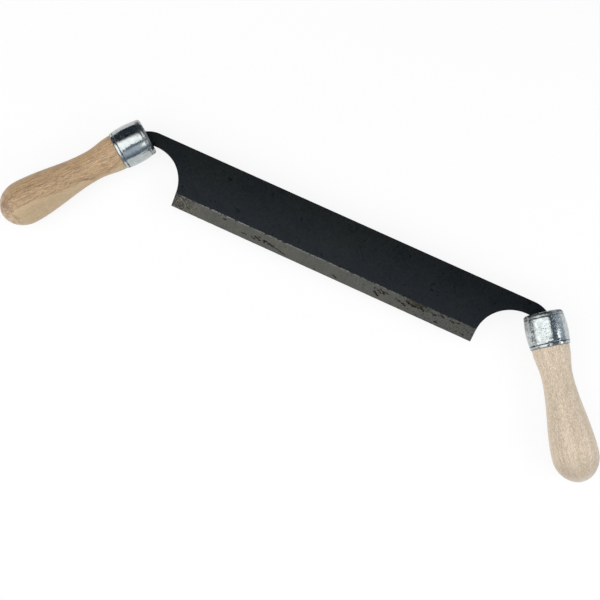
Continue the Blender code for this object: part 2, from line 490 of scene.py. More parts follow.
def arc(centre, radius, start, end, steps):
    """Points on a circle, with angles counted from +X towards +Y."""
    x, y = centre
    angles = [start + (end - start) * step / steps for step in range(steps + 1)]
    return [Vector((x + radius * math.cos(a), y + radius * math.sin(a))) for a in angles]


def face_out(shape):
    """Points all faces of a bmesh outwards."""
    bmesh.ops.recalc_face_normals(shape, faces=shape.faces[:])


def prism(outline, low, high):
    """A bmesh with an (x, y) outline raised from z = low to z = high."""
    shape = bmesh.new()
    base = shape.faces.new([shape.verts.new((x, y, low)) for x, y in outline])
    raised = bmesh.ops.extrude_face_region(shape, geom=[base])["geom"]
    top = [item for item in raised if isinstance(item, bmesh.types.BMVert)]
    bmesh.ops.translate(shape, verts=top, vec=(0, 0, high - low))
    face_out(shape)
    return shape


def add_object(name, data):
    piece = bpy.data.objects.new(name, data)
    bpy.context.scene.collection.objects.link(piece)
    return piece


def to_object(name, shape):
    """An object from a bmesh, with doubles merged and faces pointing outwards."""
    bmesh.ops.remove_doubles(shape, verts=shape.verts[:], dist=WELD_DISTANCE)
    face_out(shape)
    mesh = bpy.data.meshes.new(name)
    shape.to_mesh(mesh)
    shape.free()
    return add_object(name, mesh)


def settle(piece):
    """Replaces a piece's mesh by the result of its modifiers, and removes them."""
    graph = bpy.context.evaluated_depsgraph_get()
    mesh = bpy.data.meshes.new_from_object(piece.evaluated_get(graph))
    piece.modifiers.clear()
    piece.data = mesh


def hand_over(piece, place, sharp_angle, material, node):
    """Lays a piece in its place, dresses it and lets it stand for its CAD node."""
    mesh = piece.data
    mesh.transform(place)
    mesh.shade_smooth()
    mesh.set_sharp_from_angle(angle=sharp_angle)
    mesh.materials.clear()
    mesh.materials.append(material)
    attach(piece, BODY)
    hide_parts(node)


# Blade


def blade_end_outline(settings):
    """The blade's right end, from the edge's corner round the notch and the tang to the spine."""
    blade, splay = settings.blade, settings.handle.splay
    quarter = math.pi / 2
    half_edge = blade.edge_length / 2
    half_neck = blade.neck_width / 2
    neck_axis = blade.width - half_neck
    neck_end = half_edge + blade.notch_radius + blade.neck_straight
    below_neck = blade.width - blade.neck_width
    notch_centre = (half_edge + blade.notch_radius, below_neck - blade.notch_radius)
    notch = arc(notch_centre, blade.notch_radius, math.pi, quarter, NOTCH_STEPS)
    bend_centre = (neck_end, neck_axis - blade.bend_radius)
    turned = quarter - splay
    inner = arc(bend_centre, blade.bend_radius - half_neck, quarter, turned, BEND_STEPS)
    outer = arc(bend_centre, blade.bend_radius + half_neck, turned, quarter, BEND_STEPS)
    along = Vector((math.cos(splay), -math.sin(splay)))
    across = Vector((math.sin(splay), math.cos(splay))) * blade.tang_tip_width / 2
    tip = Vector((neck_end + bend_reach(settings), neck_axis)) + along * blade.tang_length
    return [Vector((half_edge, 0)), *notch, *inner, tip - across, tip + across, *outer]


def slice_across(shape, axis, places):
    """Cuts a bmesh at places along one axis, so that its flat faces can be shaped."""
    normal = Vector((0, 0, 0))
    normal[axis] = 1.0
    for place in places:
        everything = shape.verts[:] + shape.edges[:] + shape.faces[:]
        plane = {"plane_co": normal * place, "plane_no": normal}
        bmesh.ops.bisect_plane(shape, geom=everything, dist=WELD_DISTANCE, **plane)


def steps_between(start, end, step):
    count = round((end - start) / step)
    return [start + (end - start) * index / count for index in range(1, count)]


def grind_bevel(shape, blade):
    """Takes the wedge off the upper side along the edge and closes the cut."""
    reach = blade.edge_length / 2 + blade.edge_land * GRIND_OVERRUN
    slice_across(shape, 0, (-reach, reach))
    middle = [face for face in shape.faces if abs(face.calc_center_median().x) < reach]
    verts = list({vert for face in middle for vert in face.verts})
    edges = list({edge for face in middle for edge in face.edges})
    rise = blade.thickness - blade.edge_land
    cut = bmesh.ops.bisect_plane(
        shape,
        geom=verts + edges + middle,
        plane_co=(0, 0, blade.edge_land),
        plane_no=Vector((0, -rise, blade.bevel_width)).normalized(),
        dist=WELD_DISTANCE,
        clear_outer=True,
    )
    rim = [item for item in cut["geom_cut"] if isinstance(item, bmesh.types.BMEdge)]
    bmesh.ops.edgeloop_fill(shape, edges=[edge for edge in rim if edge.is_boundary])
    face_out(shape)


def is_ground(face, blade):
    """Whether a face is part of the ground bevel."""
    centre = face.calc_center_median()
    leaning = face.normal.y < -GROUND_LEAN and face.normal.z > GROUND_RISE
    return leaning and abs(centre.x) < blade.edge_length / 2 and centre.y < blade.bevel_width


def refine_bevel(shape, blade):
    """Cuts the ground faces finer along the edge, so that small marks show."""
    shape.normal_update()
    along = set()
    for face in shape.faces:
        if is_ground(face, blade):
            along.update(edge for edge in face.edges if runs_along(edge))
    bmesh.ops.subdivide_edges(shape, edges=list(along), cuts=BEVEL_CUTS, use_grid_fill=True)


def runs_along(edge):
    """Whether an edge runs along the blade."""
    run = edge.verts[1].co - edge.verts[0].co
    return abs(run.x) > ALONG_SHARE * run.length


def stroke_weight(x, across):
    """How much scale grinding left at this place on the bevel."""
    place = Vector((x, across))
    weight = 0.0
    for stroke in SCALE_STROKES:
        start_x, start_across, end_x, end_across, half_width = (size * TENTH for size in stroke)
        start = Vector((start_x, start_across))
        run = Vector((end_x, end_across)) - start
        share = min(max((place - start).dot(run) / run.length_squared, 0.0), 1.0)
        off_line = (place - start - run * share).length
        weight = max(weight, math.exp(-((off_line / half_width) ** 2)))
    return weight


def roughen_blade(shape, blade):
    """Marks ground faces and rim faces, which carry wear and a painted highlight, and adds forged
    waviness, a wandering ridge and a worn edge.
    """
    ground = shape.faces.layers.float.new("ground")
    rim_wear_and_highlight = shape.faces.layers.float.new("rim_wear_and_highlight")
    leftover = shape.verts.layers.float.new("leftover")
    shape.normal_update()
    ground_faces = set()
    flat_faces = set()
    for face in shape.faces:
        if is_ground(face, blade):
            ground_faces.add(face)
            face[ground] = 1.0
        elif abs(face.normal.z) > FLAT_NORMAL:
            flat_faces.add(face)
        elif abs(face.normal.z) > WALL_NORMAL:
            face[rim_wear_and_highlight] = 1.0
    for vert in shape.verts:
        place = vert.co.copy()
        on_ground = any(face in ground_faces for face in vert.link_faces)
        if on_ground:
            vert[leftover] = stroke_weight(place.x, place.y)
        if place.y < blade.edge_land:
            vert.co.y += EDGE_WEAR * (1 + noise.noise(Vector((place.x * EDGE_WEAR_SIZE, 0, 3))))
        elif on_ground and any(face in flat_faces for face in vert.link_faces):
            wander = noise.noise(Vector((place.x * RIDGE_WANDER_SIZE, 1, 0)))
            wander += 0.6 * noise.noise(Vector((place.x * RIDGE_WANDER_SIZE * 3.25, 5, 0)))
            vert.co.y += RIDGE_WANDER * wander
        elif vert.link_faces and all(face in flat_faces for face in vert.link_faces):
            vert.co.z += PLATE_WAVE * noise.noise(place * PLATE_WAVE_SIZE)


def make_blade(settings):
    """The forged plate with its tangs, rounded rims and ground bevel."""
    blade = settings.blade
    right_end = blade_end_outline(settings)
    left_end = [Vector((-point.x, point.y)) for point in reversed(right_end)]
    shape = prism(right_end + left_end, 0, blade.thickness)
    rims = [
        edge
        for edge in shape.edges
        if abs(edge.verts[0].co.z - edge.verts[1].co.z) < WELD_DISTANCE
        and max(vert.co.y for vert in edge.verts) > WELD_DISTANCE
    ]
    rounding = {"offset": blade.rim_round, "segments": RIM_STEPS, "profile": 0.5}
    bmesh.ops.bevel(shape, geom=rims, affect="EDGES", **rounding)
    grind_bevel(shape, blade)
    half_edge = blade.edge_length / 2
    slice_across(shape, 0, steps_between(-half_edge, half_edge, BLADE_SLICE))
    slice_across(shape, 1, steps_between(0, blade.bevel_width, BEVEL_SLICE))
    slice_across(shape, 1, steps_between(blade.bevel_width, blade.width, BLADE_SLICE * 2))
    refine_bevel(shape, blade)
    roughen_blade(shape, blade)
    piece = to_object("forged_blade", shape)
    place = Matrix.Translation((0, edge_line(), BLADE_LOW.z))
    hand_over(piece, place, PLATE_SHARP, blade_finish(settings), "blade")


def blade_finish(settings):
    """Black forge scale with pits and scratches, bare ground steel on the bevel, and rims with wear
    and a painted highlight.
    """
    blade = settings.blade
    material, board, shader = new_finish("black_scale_and_ground_steel")
    place = board.object_place()
    x, y, _ = place.split()
    across = y - edge_line()
    cloud = place.noise(30, 4, 0.6)
    patch = place.noise(150, 4, 0.65)
    grain = place.noise(520, 4, 0.7)
    fine = place.noise(1000, 3, 0.7)

    # Black scale: clouded, with clustered ragged pits and curved hairline scratches
    pitted = place.noise(380, 3, 0.6, 0.6) + (patch - 0.5) * 0.35
    pits = pitted.ease(0.66, 0.74)
    swirl = abs(place.noise(42, 2, 0.5, 0.8) - 0.5)
    scratches = swirl.fade(0.003, 0.013) * patch.ease(0.50, 0.60)
    near_bevel = across.fade(blade.bevel_width, blade.width)
    # The scale is painted lighter towards the bevel, a painted sheen
    scale_tone = -0.31 + near_bevel * 0.42 + cloud * 0.46 + patch * 0.70 + grain * 1.20
    scale_tone = scale_tone - scratches * 0.55 - pits * 0.60
    red, green, _ = blade.scale_colour
    greenish = (cloud - near_bevel * 0.2).ease(0.35, 0.60)
    black = board.blend(blade.scale_colour, (red, green, green * 1.02), greenish)
    black = board.shade(black, scale_tone)

    # Ground steel: fine lines across the bevel, warm and cool patches, and a light line under the
    # ridge, partly worn steel and partly a painted highlight
    lines = place.stretch((1100, 110, 110)).noise(1, 3)
    mist = place.noise(70, 4, 0.6)
    below_ridge = (blade.bevel_width - across) * MM_PER_METRE
    # A light line of worn steel under the ridge, with a painted highlight where the ridge catches
    # light
    ridge_wear_and_highlight = below_ridge.fade(0.5, 1.3) * (fine + (grain - 0.5) * 0.6).ease(0.40, 0.60)
    ridge_wear_and_highlight = ridge_wear_and_highlight * x.fade(0.02, 0.09)
    right_end = x.ease(0.0, 0.125)
    left_end = x.fade(-0.122, -0.098)
    steel_tone = 0.24 + lines * 0.32 + mist * 0.40 + grain * 0.80 + (fine - 0.5) * 0.5
    # Painted light: the bevel is painted lighter towards the right end, making up for the panel's
    # light that falls off there
    steel_tone = steel_tone + x.ease(-0.08, 0.03) * 0.10 + right_end * 0.07
    steel = board.blend(blade.bevel_colour, WARM_STEEL, mist.ease(0.45, 0.65))
    steel = board.shade(steel, steel_tone)
    steel = board.blend(steel, RIDGE_WEAR_AND_HIGHLIGHT, ridge_wear_and_highlight * 0.75)
    mottle = place.noise(420, 3, 0.65)
    steel = board.blend(steel, LIGHT_MOTTLE, left_end * mottle.ease(0.48, 0.62) * 0.8)
    steel = board.blend(steel, DARK_MOTTLE, left_end * mottle.fade(0.36, 0.46) * 0.8)
    rust_specks = fine + (grain - 0.5) * 0.6 + left_end * 0.14 + right_end * 0.07
    steel = board.blend(steel, RUST, rust_specks.ease(0.62, 0.70))

    # Scale left on the bevel, and the ragged line where the bevel meets the face
    slanted = {"Vector": place, "Rotation": (0, 0, -0.5), "Scale": (520, 1250, 520)}
    hatch = board.add("ShaderNodeMapping", {}, slanted).noise(1, 2, 0.6)
    near_edge = across.fade(0.0004, 0.0014) * x.ease(-0.06, 0.06)
    leftover = board.attribute("leftover") * 0.98 + (hatch - 0.5) * 1.9 + (fine - 0.5) * 2.3
    marks = (leftover + near_edge * 0.3).ease(0.52, 0.66)
    ragged = below_ridge + (grain - 0.5) * 4.4 + (fine - 0.5) * 3.6
    creep = ragged.fade(0.25, 0.50) * patch.ease(0.40, 0.50)
    kept = board.math("MAXIMUM", marks, creep)
    olive = x.ease(0.068, 0.074) * x.fade(0.084, 0.092) * across.ease(0.0050, 0.0075)
    olive = olive * (grain + (fine - 0.5) * 0.9).ease(0.36, 0.54)
    steel = board.blend(steel, board.shade(OLIVE_FILM, fine * 1.7), olive * 0.95)
    steel = board.blend(steel, KEPT_SCALE, marks * 0.95)
    bare = board.attribute("ground") * (1 - creep * 0.95)
    tone = board.blend(black, steel, bare)

    # Rims: worn scale, and a painted highlight where the rounded rims catch light
    rim_wear_and_highlight = board.attribute("rim_wear_and_highlight") * (patch + grain * 0.5).ease(0.62, 0.92)
    tone = board.blend(tone, RIM_WEAR_AND_HIGHLIGHT, rim_wear_and_highlight * 0.30)

    height = cloud * 0.5 + patch * 0.6 + grain * 0.5 - pits * 0.5 - scratches * 0.5
    height = height * (1 - bare) + (lines * 0.25 + grain * 0.4) * bare - kept * 0.15
    finish = {
        "Base Color": tone,
        "Roughness": 0.40 + patch * 0.12 + grain * 0.10 + pits * 0.12 - rim_wear_and_highlight * 0.08,
        "Metallic": 1.0,
        "Specular Tint": (0.12, 0.12, 0.12),
        "Normal": board.bump(height, 0.30, 0.0004),
    }
    board.dress(shader, finish)
    return material


# Ferrules


def bend_side(settings, distance):
    """How far the bend's inner side stands from the handle's axis, this far from the corner."""
    blade = settings.blade
    inner_radius = blade.bend_radius - blade.neck_width / 2
    return blade.bend_radius - math.sqrt(inner_radius**2 - (bend_reach(settings) - distance) ** 2)


def barrel_radius(ferrule, distance):
    """The ferrule's outer radius behind its shoulder, this far from its front."""
    middle = (ferrule.length + ferrule.shoulder_radius) / 2
    half_length = (ferrule.length - ferrule.shoulder_radius) / 2
    rise = 1 - ((distance - middle) / half_length) ** 2
    return ferrule.end_diameter / 2 + ferrule.bulge * rise


def ferrule_profile(settings):
    """The cup's section as (radius, distance): hole, shoulder, barrel, groove, hem and inside."""
    ferrule = settings.ferrule
    hole = math.hypot(bend_side(settings, 0), settings.blade.thickness / 2) + CLEARANCE
    shoulder = ferrule.shoulder_radius
    shoulder_centre = (ferrule.end_diameter / 2 - shoulder, shoulder)
    quarter = math.pi / 2
    outside = arc(shoulder_centre, shoulder, -quarter, 0, SHOULDER_STEPS)
    inner_shoulder = arc(shoulder_centre, shoulder - ferrule.wall, 0, -quarter, SHOULDER_STEPS)
    groove_end = ferrule.length - ferrule.hem_length
    groove_start = groove_end - ferrule.hem_groove_width
    barrel = []
    for step in range(1, BARREL_STEPS + 1):
        distance = shoulder + (groove_start - shoulder) * step / BARREL_STEPS
        crease = CREASE_DEPTH * math.exp(-(((distance - CREASE_PLACE) / CREASE_WIDTH) ** 2))
        barrel.append((barrel_radius(ferrule, distance) - crease, distance))
    hem = []
    for step in range(1, HEM_STEPS + 1):
        share = step / HEM_STEPS
        distance = groove_start + ferrule.hem_groove_width * share
        dip = ferrule.hem_groove_depth * (1 - math.cos(math.tau * share)) / 2
        hem.append((barrel_radius(ferrule, distance) - dip, distance))
    roll = ferrule.wall / 2
    rim_radius = barrel_radius(ferrule, ferrule.length) - roll
    hem.append((barrel_radius(ferrule, groove_end + roll), groove_end + roll))
    hem += arc((rim_radius, ferrule.length - roll), roll, 0, math.pi, HEM_STEPS)
    inside = []
    for step in range(1, BARREL_STEPS):
        distance = ferrule.length - roll - (ferrule.length - roll - shoulder) * step / BARREL_STEPS
        inside.append((barrel_radius(ferrule, distance) - ferrule.wall, distance))
    return [(hole, 0), *outside, *barrel, *hem, *inside, *inner_shoulder, (hole, ferrule.wall)]


def dent_depth(side, turn, distance):
    """How far the pressed sheet is pushed in at this place."""
    across = Vector((math.cos(turn), math.sin(turn), 0)) * CUP_REACH
    place = across + Vector((side * 0.5, 0, distance))
    wave = noise.noise(place * CUP_WAVE_SIZE) + 0.35 * noise.noise(place * CUP_WAVE_SIZE * 3)
    depth = CUP_WAVE * wave
    if distance > CRIMP_START:
        depth += CRIMP_WAVE * ZINC_WEAR[side] * noise.noise(place * CRIMP_SIZE)
    for ding_turn, ding_distance, width, ding_depth in CUP_DINGS[side]:
        far = (math.hypot((turn - ding_turn) * CUP_REACH, distance - ding_distance) / width) ** 2
        depth += ding_depth * math.exp(-far)
    return depth


def make_ferrule(settings, name, side, zinc):
    """A pressed cup, turned about its axis and lightly dented."""
    shape = bmesh.new()
    profile = ferrule_profile(settings)
    points = [shape.verts.new((radius, 0, distance)) for radius, distance in profile]
    for start, end in zip(points, points[1:] + points[:1]):
        shape.edges.new((start, end))
    wire = shape.verts[:] + shape.edges[:]
    full_turn = {"cent": (0, 0, 0), "axis": (0, 0, 1), "angle": math.tau, "steps": TURN_STEPS}
    bmesh.ops.spin(shape, geom=wire, use_merge=True, **full_turn)
    axial = shape.verts.layers.float.new("axial")
    flank = shape.verts.layers.float.new("flank")
    for vert in shape.verts:
        radius = math.hypot(vert.co.x, vert.co.y)
        vert[axial] = vert.co.z
        vert[flank] = vert.co.x / radius
        pushed = 1 - dent_depth(side, math.atan2(vert.co.y, vert.co.x), vert.co.z) / radius
        vert.co.x *= pushed
        vert.co.y *= pushed
    piece = to_object(name + "_zinc_cup", shape)
    place = handle_matrix(settings, side)
    hand_over(piece, place, TURNED_SHARP, zinc, name + "_ferrule")


def zinc_finish(settings, name, wear):
    """Spangled zinc, dull patches, and grime with painted shade in the creases; wear adds specks,
    scuffs, white oxide and a painted dark reflection near the front.
    """
    ferrule = settings.ferrule
    material, board, shader = new_finish(name + "_bright_zinc")
    place = board.object_place()
    axial = board.attribute("axial")
    flank = board.attribute("flank")
    cloud = place.noise(170, 4, 0.65)
    grain = place.noise(430, 3, 0.6)
    fine = place.noise(950, 3, 0.65)
    flake = board.cell_colours(place, 480).split()[0]
    dull = (cloud + (grain - 0.5) * 0.5).ease(0.50, 0.72)
    scuffed = abs(flank + 0.83).fade(0.03, 0.11) * wear
    specks = (fine + (cloud - 0.5) * 0.4 + scuffed * 0.10).ease(0.61, 0.68)
    oxide = (place.noise(1150, 2, 0.6) + (grain - 0.5) * 0.5).ease(0.50, 0.64)
    oxide = oxide * flank.ease(0.02, 0.22) * axial.fade(0.013, 0.019) * (0.85 * wear * wear)
    groove = ferrule.length - ferrule.hem_length - ferrule.hem_groove_width / 2
    # Grime and painted shade: dark lines in the hem groove, along the crease, at the open rim and
    # under the front shoulder, where shade falls
    grime_and_shade = abs(axial - groove).fade(0.0002, 0.0009)
    grime_and_shade = grime_and_shade + abs(axial - CREASE_PLACE).fade(0.0003, 0.0010) * 0.9
    grime_and_shade = grime_and_shade + (ferrule.length - axial).fade(0.0002, 0.0009) * 0.7
    grime_and_shade = grime_and_shade + axial.fade(0.0016, 0.0032) * 1.3
    grime_and_shade = grime_and_shade * (cloud + grain * 0.6).ease(0.55, 0.95)
    tone = 0.84 + 0.05 * wear + (flake - 0.5) * (0.10 + 0.20 * wear) + grain * 0.24 - dull * 0.10
    # Painted dark reflection: the left flank near the front is painted darker, and more so the more
    # worn the coat is
    painted_dark_flank = flank.fade(-0.98, -0.84) * axial.fade(0.006, 0.015)
    tone = tone - specks * (0.72 * wear) - grime_and_shade * 0.66 - painted_dark_flank * (0.42 * wear)
    height = cloud * 0.6 + flake * 0.06 + grain * (0.45 * wear) + fine * (0.35 * wear)
    finish = {
        "Base Color": board.shade(ferrule.zinc_colour, tone),
        "Roughness": 0.08 + dull * 0.08 + flake * 0.03 + grain * 0.06 + specks * 0.2 + grime_and_shade * 0.3,
        "Metallic": 1 - oxide,
        "Normal": board.bump(height, 0.45, 0.0004),
    }
    board.dress(shader, finish)
    return material


# Handles


def grip_tree(size_names):
    """Geometry nodes that turn a grip from a grid: tenon, waist, swell and rounded butt."""
    tree = bpy.data.node_groups.new("turned_grip", "GeometryNodeTree")
    for name in size_names:
        tree.interface.new_socket(name, in_out="INPUT", socket_type="NodeSocketFloat")
    tree.interface.new_socket("Wood", in_out="INPUT", socket_type="NodeSocketMaterial")
    tree.interface.new_socket("Geometry", in_out="OUTPUT", socket_type="NodeSocketGeometry")
    board = Board(tree)
    entry = tree.nodes.new("NodeGroupInput")
    size = {name: Signal(board, entry.outputs[name]) for name in (*size_names, "Wood")}
    rows = TENON_ROWS + GRIP_ROWS + SWELL_ROWS + BUTT_ROWS + 1
    square = {"Size X": 1.0, "Size Y": 1.0, "Vertices X": rows, "Vertices Y": TURN_STEPS + 1}
    grid = board.add("GeometryNodeMeshGrid", {}, square, "Mesh")
    u, v, _ = board.add("GeometryNodeInputPosition").split()
    row = (u + 0.5) * (rows - 1)
    turn = (v + 0.5) * math.tau

    def share_of(first, count):
        """From 0 to 1 over a run of rows."""
        return board.add("ShaderNodeClamp", {}, {"Value": (row - first) / count})

    def level_step(share):
        """A change that is level at both ends."""
        return 0.5 - board.math("COSINE", share * math.pi) * 0.5

    def span(start, end):
        """From one of the sizes to another."""
        return size[end] - size[start]

    to_waist = share_of(TENON_ROWS, GRIP_ROWS)
    to_swell = share_of(TENON_ROWS + GRIP_ROWS, SWELL_ROWS)
    round_butt = share_of(TENON_ROWS + GRIP_ROWS + SWELL_ROWS, BUTT_ROWS) * (math.pi / 2)
    grip_radius = size["Start Radius"] + level_step(to_waist) * span("Start Radius", "Waist Radius")
    grip_radius = grip_radius + level_step(to_swell) * span("Waist Radius", "Swell Radius")
    grip_place = size["Grip Start"] + to_waist * span("Grip Start", "Waist Position")
    grip_place = grip_place + to_swell * span("Waist Position", "Swell Position")
    grip_place = grip_place + board.math("SINE", round_butt) * span("Swell Position", "Handle End")
    turn_x, turn_y = board.math("COSINE", turn), board.math("SINE", turn)
    round_grip = board.join(turn_x, turn_y, grip_place * GRIP_WAVE_SIZE)
    sway = board.add(
        "ShaderNodeTexNoise",
        {"noise_dimensions": "4D"},
        {"Vector": round_grip, "W": size["Seed"], "Scale": 1.3, "Detail": 1.0},
    )
    grip_radius = grip_radius + (sway - 0.5) * size["Hand Finish"] * 2.0 * (to_waist > 0.02)
    grip_radius = grip_radius * board.math("COSINE", round_butt)

    on_front, on_chamfer = row > 0.5, row > 1.5
    at_shoulder, on_grip = row > 2.5, row > TENON_ROWS - 0.5
    chamfer = size["Tenon Chamfer"]
    tenon_radius = on_front * span("Tenon Chamfer", "Tenon Radius") + on_chamfer * chamfer
    tenon_place = size["Tenon Front"] + on_chamfer * chamfer
    tenon_place = tenon_place + at_shoulder * (span("Tenon Front", "Grip Start") - chamfer)
    radius = tenon_radius * (1 - on_grip) + grip_radius * on_grip
    distance = tenon_place * (1 - on_grip) + grip_place * on_grip
    place = board.join(turn_x * radius, turn_y * radius, distance)
    turned = board.add("GeometryNodeSetPosition", {}, {"Geometry": grid, "Position": place})
    weld = {"Geometry": turned, "Distance": WELD_DISTANCE * 10}
    closed = board.add("GeometryNodeMergeByDistance", {}, weld)
    real = board.add("GeometryNodeRealizeInstances", {}, {"Geometry": closed})
    dressed = board.add("GeometryNodeSetMaterial", {}, {"Geometry": real, "Material": size["Wood"]})
    leave = tree.nodes.new("NodeGroupOutput")
    board.feed(leave.inputs["Geometry"], dressed)
    return tree


def grip_sizes(settings, side):
    """The sizes that the grip tree takes, and its seed."""
    ferrule, handle = settings.ferrule, settings.handle
    return {
        "Tenon Front": ferrule.wall + CLEARANCE,
        "Tenon Radius": ferrule.end_diameter / 2 - ferrule.wall - CLEARANCE,
        "Tenon Chamfer": ferrule.shoulder_radius - ferrule.wall,
        "Grip Start": ferrule.length + CLEARANCE,
        "Start Radius": ferrule.end_diameter / 2 - ferrule.step,
        "Waist Position": handle.waist_position,
        "Waist Radius": handle.waist_diameter / 2,
        "Swell Position": handle.swell_position,
        "Swell Radius": handle.swell_diameter / 2,
        "Handle End": handle.end,
        "Hand Finish": GRIP_WAVE,
        "Seed": GRIP_SEED + side,
    }


def mortise_shape(settings, side):
    """The tang's hole: a mouth that clears the bend, a funnel and a taper that fits the spike."""
    blade = settings.blade
    front = settings.ferrule.wall + CLEARANCE
    mouth = front - CUT_MARGIN
    reach = bend_reach(settings)
    taper = reach + CLEARANCE + MORTISE_FUNNEL
    narrowed = (taper - reach) / (blade.tang_length - reach)
    taper_width = blade.neck_width + (blade.tang_tip_width - blade.neck_width) * narrowed
    notch_side = bend_side(settings, front) + CLEARANCE
    far_side = blade.neck_width / 2 + CLEARANCE
    taper_side = taper_width / 2 + CLEARANCE
    tip_side = blade.tang_tip_width / 2 + CLEARANCE
    end = blade.tang_length + CLEARANCE
    outline = [
        (far_side, mouth),
        (far_side, taper - MORTISE_FUNNEL),
        (taper_side, taper),
        (tip_side, end),
        (-tip_side, end),
        (-taper_side, taper),
        (-notch_side, taper - MORTISE_FUNNEL),
        (-notch_side, mouth),
    ]
    half_thickness = blade.thickness / 2 + CLEARANCE
    sided = [(side * across, along) for across, along in outline]
    shape = prism(sided, -half_thickness, half_thickness)
    for vert in shape.verts:
        vert.co = (vert.co.x, vert.co.z, vert.co.y)
    face_out(shape)
    return shape


def make_grip(settings, name, side, tree, wood):
    """A turned grip with the tang's mortise cut into its front."""
    piece_name = name + "_beech_grip"
    piece = add_object(piece_name, bpy.data.meshes.new(piece_name))
    turning = piece.modifiers.new("turned_grip", "NODES")
    turning.node_group = tree
    values = {**grip_sizes(settings, side), "Wood": wood}
    for item in tree.interface.items_tree:
        if item.in_out == "INPUT":
            turning[item.identifier] = values[item.name]
    settle(piece)
    shape = bmesh.new()
    shape.from_mesh(piece.data)
    face_out(shape)
    shape.to_mesh(piece.data)
    shape.free()
    cutter = to_object(name + "_mortise", mortise_shape(settings, side))
    cut = piece.modifiers.new("mortise", "BOOLEAN")
    cut.operation = "DIFFERENCE"
    cut.solver = "EXACT"
    cut.object = cutter
    settle(piece)
    bpy.data.objects.remove(cutter, do_unlink=True)
    hand_over(piece, handle_matrix(settings, side), TURNED_SHARP, wood, name + "_handle")


def beech_start(name, settings, side):
    """A wood material with its place in the handle's own frame: across, up and along."""
    material, board, shader = new_finish(name)
    corner, turn = handle_place(settings, side)
    laid = {"Vector": board.object_place(), "Location": corner, "Rotation": tuple(turn)}
    local = board.add("ShaderNodeMapping", {"vector_type": "TEXTURE"}, laid)
    return material, board, shader, local


def growth_rings(board, local, lean, spacing, wander):
    """The place within each growth ring from 0 to 1, and how strongly that ring shows there."""
    across, up, along = local.split()
    sway = local.drawn(70, 6) - 0.5
    count = (across + up * lean + sway * wander) / spacing
    ring = board.math("FRACT", count)
    which = board.join(board.math("FLOOR", count) * 2.37, along * 14, 0.0)
    return ring, which.noise(1, 1).ease(0.38, 0.66)


def wax_wood(board, shader, wood, fuzz, near_butt, relief):
    """Feeds a wood's shader: sanded along the grip and waxed at the butt."""
    finish = {
        "Base Color": wood,
        "Roughness": 0.40 + fuzz - near_butt * 0.12,
        "Coat Weight": near_butt * 0.6,
        "Coat Roughness": 0.22,
        "Normal": relief,
    }
    board.dress(shader, finish)


def tan_beech(settings):
    """Tan beech: ring lines that run off sideways, short flecks, a pale side and a stained butt."""
    material, board, shader, local = beech_start("tan_beech_wood", settings, LEFT)
    across, up, along = local.split()
    across = across + (along - GRAIN_CROSSING) * GRAIN_SLANT
    grain = board.join(across, up, along)
    ring, strength = growth_rings(board, grain, 0.25, 0.0027, 0.0016)
    line = ring.ease(0.78, 0.96) * strength
    fibre = grain.drawn(640, 10, 4, 0.65)
    streak = grain.drawn(1050, 5).ease(0.54, 0.64)
    band = grain.drawn(190, 6)
    speckle = grain.drawn(1700, 110, 3, 0.65)
    pores = grain.drawn(1300, 80).ease(0.58, 0.70)
    dots = grain.drawn(2300, 1000, 1)
    side_place = across + (band - 0.5) * 0.004
    pale_side = side_place.ease(0.0085, 0.0110)
    border = abs(side_place - 0.0092).fade(0.0002, 0.0008)
    lively = 1 - pale_side * 0.62
    speckled = (fibre - 0.5) * 0.7 + (speckle - 0.5) * 1.9 + (dots - 0.5) * 1.2
    tone = 1.09 + speckled * lively + (band - 0.5) * 0.25
    tone = tone - (line * 0.34 + streak * 0.20) * (1 - pale_side * 0.8)
    tone = tone - pores * lively * 0.28 - border * 0.09
    # Painted light: the far side of the grip (negative across) is painted lighter, making up for
    # the shade that falls there
    tone = tone - along.ease(0.060, 0.100) * 0.05 + across.fade(-0.007, 0.001) * 0.15
    wood = board.blend(settings.handle.tan_colour, PALE_SIDE, pale_side * 0.8)
    wood = board.shade(wood, tone)
    near_butt = (settings.handle.end - along).fade(0.004, 0.016)
    stain = near_butt * local.noise(190, 3, 0.6).ease(0.44, 0.58)
    wood = board.blend(wood, BURNT_BUTT, stain * 0.85)
    height = fibre * 0.5 + speckle * 0.3 - pores * 0.5 - line * 0.3
    fuzz = fibre * 0.14 + speckle * 0.1
    wax_wood(board, shader, wood, fuzz, near_butt, board.bump(height, 0.20, 0.0003))
    return material


def pale_beech(settings):
    """Pale beech: short flecks, faint bands, painted shade towards the butt and a small tan spot at
    the butt.
    """
    material, board, shader, local = beech_start("pale_beech_wood", settings, RIGHT)
    ring, strength = growth_rings(board, local, 0.9, 0.0050, 0.0050)
    late = ring.ease(0.4, 1.0) * strength
    fibre = local.drawn(800, 24, 4, 0.65)
    band = local.drawn(170, 6)
    speckle = local.drawn(2400, 220, 2, 0.6)
    dots = local.drawn(2300, 1000, 1)
    flecks = local.drawn(1050, 300).ease(0.60, 0.70)
    light = 0.5 + (fibre - 0.5) * 0.6 + (band - 0.5) * 0.7
    light = light + (speckle - 0.5) * 1.8 + (dots - 0.5) * 1.8
    light_beech = [2 * tone - dark for tone, dark in zip(settings.handle.pale_colour, DARK_BEECH)]
    wood = board.blend(DARK_BEECH, light_beech, light - late * 0.15)
    wood = board.blend(wood, WOOD_FLECK, flecks * 0.2)
    from_butt = settings.handle.end - local.split()[2]
    near_butt = from_butt.fade(0.003, 0.012)
    stain = near_butt * local.noise(240, 3, 0.6).ease(0.54, 0.64)
    # Painted shade: the grip is painted darker towards the butt, where shade falls on its end
    wood = board.shade(wood, 1 - from_butt.fade(0.004, 0.025) * 0.24)
    wood = board.blend(wood, TAN_SPOT, stain * 0.5)
    height = fibre * 0.5 + speckle * 0.4 - flecks * 0.3
    fuzz = fibre * 0.12 + flecks * 0.1
    wax_wood(board, shader, wood, fuzz, near_butt, board.bump(height, 0.18, 0.0003))
    return material


# Stage


